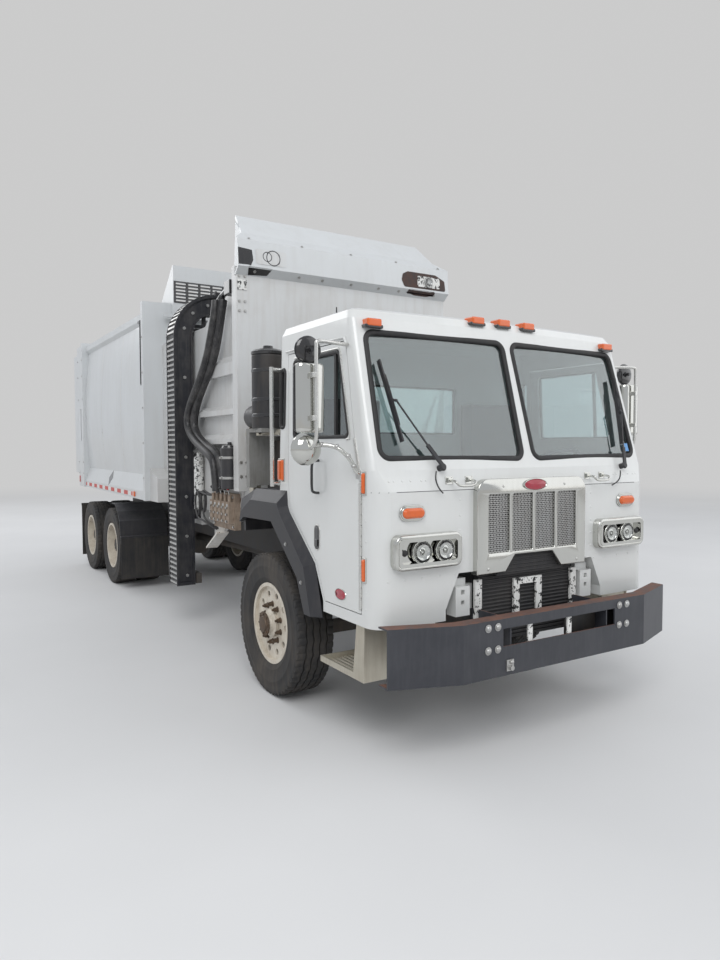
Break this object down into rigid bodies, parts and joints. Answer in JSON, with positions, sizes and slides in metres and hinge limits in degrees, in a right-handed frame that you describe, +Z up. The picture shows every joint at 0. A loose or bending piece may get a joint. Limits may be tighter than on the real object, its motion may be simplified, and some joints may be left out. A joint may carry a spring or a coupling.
{
  "type": "side-loading garbage truck",
  "caption": "Low cab-forward garbage truck with a tall hopper behind the cab, a side lifting arm, a tipping box and a rear tailgate.",
  "frame": {"origin": "on the ground under the middle of the truck's bounding box", "axes": "+X to the truck's left, +Y to its rear, +Z up"},
  "size_m": [3.076, 9.248, 3.9198],
  "materials": {
    "white_paint": "gloss, lightly soiled",
    "charcoal_steel": "satin, worn",
    "black_frame": "satin",
    "black_plastic": "satin",
    "chrome": "polished",
    "glass": "clear, reflective",
    "lamp": "translucent amber",
    "worn_white": "chipped",
    "valve_metal": "rusty and dusty",
    "tyre": "matte",
    "cream_wheel": "worn enamel",
    "flap_rubber": "matte",
    "arm_black": "satin, dusty",
    "steel": "bare",
    "iron": "dusty",
    "trim_grey": "moulded",
    "seat_cloth": "woven",
    "step_alloy": "cast, dusty"
  },
  "bodies": {
    "chassis": {"frame_rails": "black_frame", "front_bumper": "charcoal_steel", "cab_shell": "white_paint", "cab_glass": "glass", "front_grille": "chrome", "radiator": "black_frame", "radiator_frame": "worn_white", "cab_supports": "worn_white", "headlamps": "chrome", "marker_lamps": "lamp", "grab_bars": "white_paint", "seats": "seat_cloth", "dashboard": "trim_grey", "engine": "iron", "cab_steps": "step_alloy", "fenders": "black_plastic", "mud_flaps": "flap_rubber", "air_cleaner": "black_frame", "rear_rack": "black_frame", "tanks": "steel", "front_axle": "iron", "drive_axles": "iron"},
    "tie_rod": {"tie_rod": "steel"},
    "body": {"hopper": "white_paint", "valves": "valve_metal", "canister": "black_plastic", "actuator": "worn_white", "canopy": "white_paint", "hopper_screen": "white_paint", "body_box": "white_paint"},
    "tailgate": {"tailgate": "white_paint"},
    "tailgate_barrels": {"tailgate_barrels": "arm_black"},
    "tailgate_rods": {"tailgate_rods": "chrome"},
    "hoist_barrels": {"hoist_barrels": "arm_black"},
    "hoist_rods": {"hoist_rods": "chrome"},
    "mast": {"mast": "arm_black", "mast_chain": "steel"},
    "carriage": {"carriage": "arm_black"},
    "finger_front": {"finger_front": "arm_black"},
    "finger_rear": {"finger_rear": "arm_black"},
    "door_left": {"door_left": "white_paint", "door_glass_left": "glass", "mirror_left": "chrome"},
    "knuckle_left": {"knuckle_left": "iron"},
    "wheel_front_left": {"tyre_front_left": "tyre", "rim_front_left": "cream_wheel"},
    "wheels_rear_1_left": {"tyres_rear_1_left": "tyre", "rims_rear_1_left": "cream_wheel"},
    "wheels_rear_2_left": {"tyres_rear_2_left": "tyre", "rims_rear_2_left": "cream_wheel"},
    "door_right": {"door_right": "white_paint", "door_glass_right": "glass", "mirror_right": "chrome"},
    "knuckle_right": {"knuckle_right": "iron"},
    "wheel_front_right": {"tyre_front_right": "tyre", "rim_front_right": "cream_wheel"},
    "wheels_rear_1_right": {"tyres_rear_1_right": "tyre", "rims_rear_1_right": "cream_wheel"},
    "wheels_rear_2_right": {"tyres_rear_2_right": "tyre", "rims_rear_2_right": "cream_wheel"}
  },
  "joints": [
    {"name": "door_left", "type": "hinge", "parent": "chassis", "child": "door_left", "pos_m": [1.206, -4.176, 0], "axis": [0, 0, -1], "range_deg": [0, 70]},
    {"name": "steer_left", "type": "hinge", "parent": "chassis", "child": "knuckle_left", "pos_m": [0.915, -2.845, 0.53], "axis": [0, 0, 1], "range_deg": [-35, 35]},
    {"name": "wheel_front_left", "type": "hinge", "parent": "knuckle_left", "child": "wheel_front_left", "pos_m": [1.075, -2.845, 0.53], "axis": [1, 0, 0], "continuous": true},
    {"name": "wheels_rear_1_left", "type": "hinge", "parent": "chassis", "child": "wheels_rear_1_left", "pos_m": [0.905, 2.32, 0.512], "axis": [1, 0, 0], "continuous": true},
    {"name": "wheels_rear_2_left", "type": "hinge", "parent": "chassis", "child": "wheels_rear_2_left", "pos_m": [0.905, 3.67, 0.512], "axis": [1, 0, 0], "continuous": true},
    {"name": "door_right", "type": "hinge", "parent": "chassis", "child": "door_right", "pos_m": [-1.206, -4.176, 0], "axis": [0, 0, 1], "range_deg": [0, 70]},
    {"name": "steer_right", "type": "hinge", "parent": "chassis", "child": "knuckle_right", "pos_m": [-0.915, -2.845, 0.53], "axis": [0, 0, 1], "range_deg": [-35, 35]},
    {"name": "wheel_front_right", "type": "hinge", "parent": "knuckle_right", "child": "wheel_front_right", "pos_m": [-1.075, -2.845, 0.53], "axis": [1, 0, 0], "continuous": true},
    {"name": "wheels_rear_1_right", "type": "hinge", "parent": "chassis", "child": "wheels_rear_1_right", "pos_m": [-0.905, 2.32, 0.512], "axis": [1, 0, 0], "continuous": true},
    {"name": "wheels_rear_2_right", "type": "hinge", "parent": "chassis", "child": "wheels_rear_2_right", "pos_m": [-0.905, 3.67, 0.512], "axis": [1, 0, 0], "continuous": true},
    {"name": "tie_rod", "type": "slide", "parent": "chassis", "child": "tie_rod", "axis": [1, 0, 0], "range_m": [-0.13, 0.13]},
    {"name": "body_tilt", "type": "hinge", "parent": "chassis", "child": "body", "pos_m": [0, 4.13, 1.115], "axis": [-1, 0, 0], "range_deg": [0, 45]},
    {"name": "tailgate", "type": "hinge", "parent": "body", "child": "tailgate", "pos_m": [0, 4.365, 3.525], "axis": [1, 0, 0], "range_deg": [0, 85]},
    {"name": "tailgate_barrels", "type": "hinge", "parent": "body", "child": "tailgate_barrels", "pos_m": [0, 4.12, 2.1], "axis": [1, 0, 0], "range_deg": [-10, 10]},
    {"name": "tailgate_rods", "type": "slide", "parent": "tailgate_barrels", "child": "tailgate_rods", "axis": [0, 0.3571, 0.9341], "range_m": [0, 0.629]},
    {"name": "hoist_barrels", "type": "hinge", "parent": "chassis", "child": "hoist_barrels", "pos_m": [0, 0.58, 0.83], "axis": [1, 0, 0], "range_deg": [-5, 40]},
    {"name": "hoist_rods", "type": "slide", "parent": "hoist_barrels", "child": "hoist_rods", "axis": [0, 0.9889, 0.1483], "range_m": [0, 0.858]},
    {"name": "mast_reach", "type": "slide", "parent": "body", "child": "mast", "axis": [-1, 0, 0], "range_m": [0, 1.15]},
    {"name": "carriage", "type": "hinge", "parent": "mast", "child": "carriage", "pos_m": [-0.775, -0.565, 2.95], "axis": [0, -1, 0], "range_deg": [0, 90]},
    {"name": "finger_front", "type": "hinge", "parent": "carriage", "child": "finger_front", "pos_m": [-0.6, -0.72, 3.468], "axis": [-1, 0, 0], "range_deg": [0, 80]},
    {"name": "finger_rear", "type": "hinge", "parent": "carriage", "child": "finger_rear", "pos_m": [-0.6, -0.41, 3.468], "axis": [1, 0, 0], "range_deg": [0, 80]}
  ],
  "couplings": [
    {"joint": "steer_right", "follows": "steer_left", "ratio": 1},
    {"joint": "tie_rod", "follows": "steer_left", "m_per_rad": -0.18779},
    {"joint": "tailgate_barrels", "follows": "tailgate", "ratio": -0.02809},
    {"joint": "tailgate_rods", "follows": "tailgate", "m_per_rad": 0.38996},
    {"joint": "hoist_barrels", "follows": "body_tilt", "ratio": 0.4649},
    {"joint": "hoist_rods", "follows": "body_tilt", "m_per_rad": 1.0287},
    {"joint": "finger_rear", "follows": "finger_front", "ratio": 1}
  ]
}
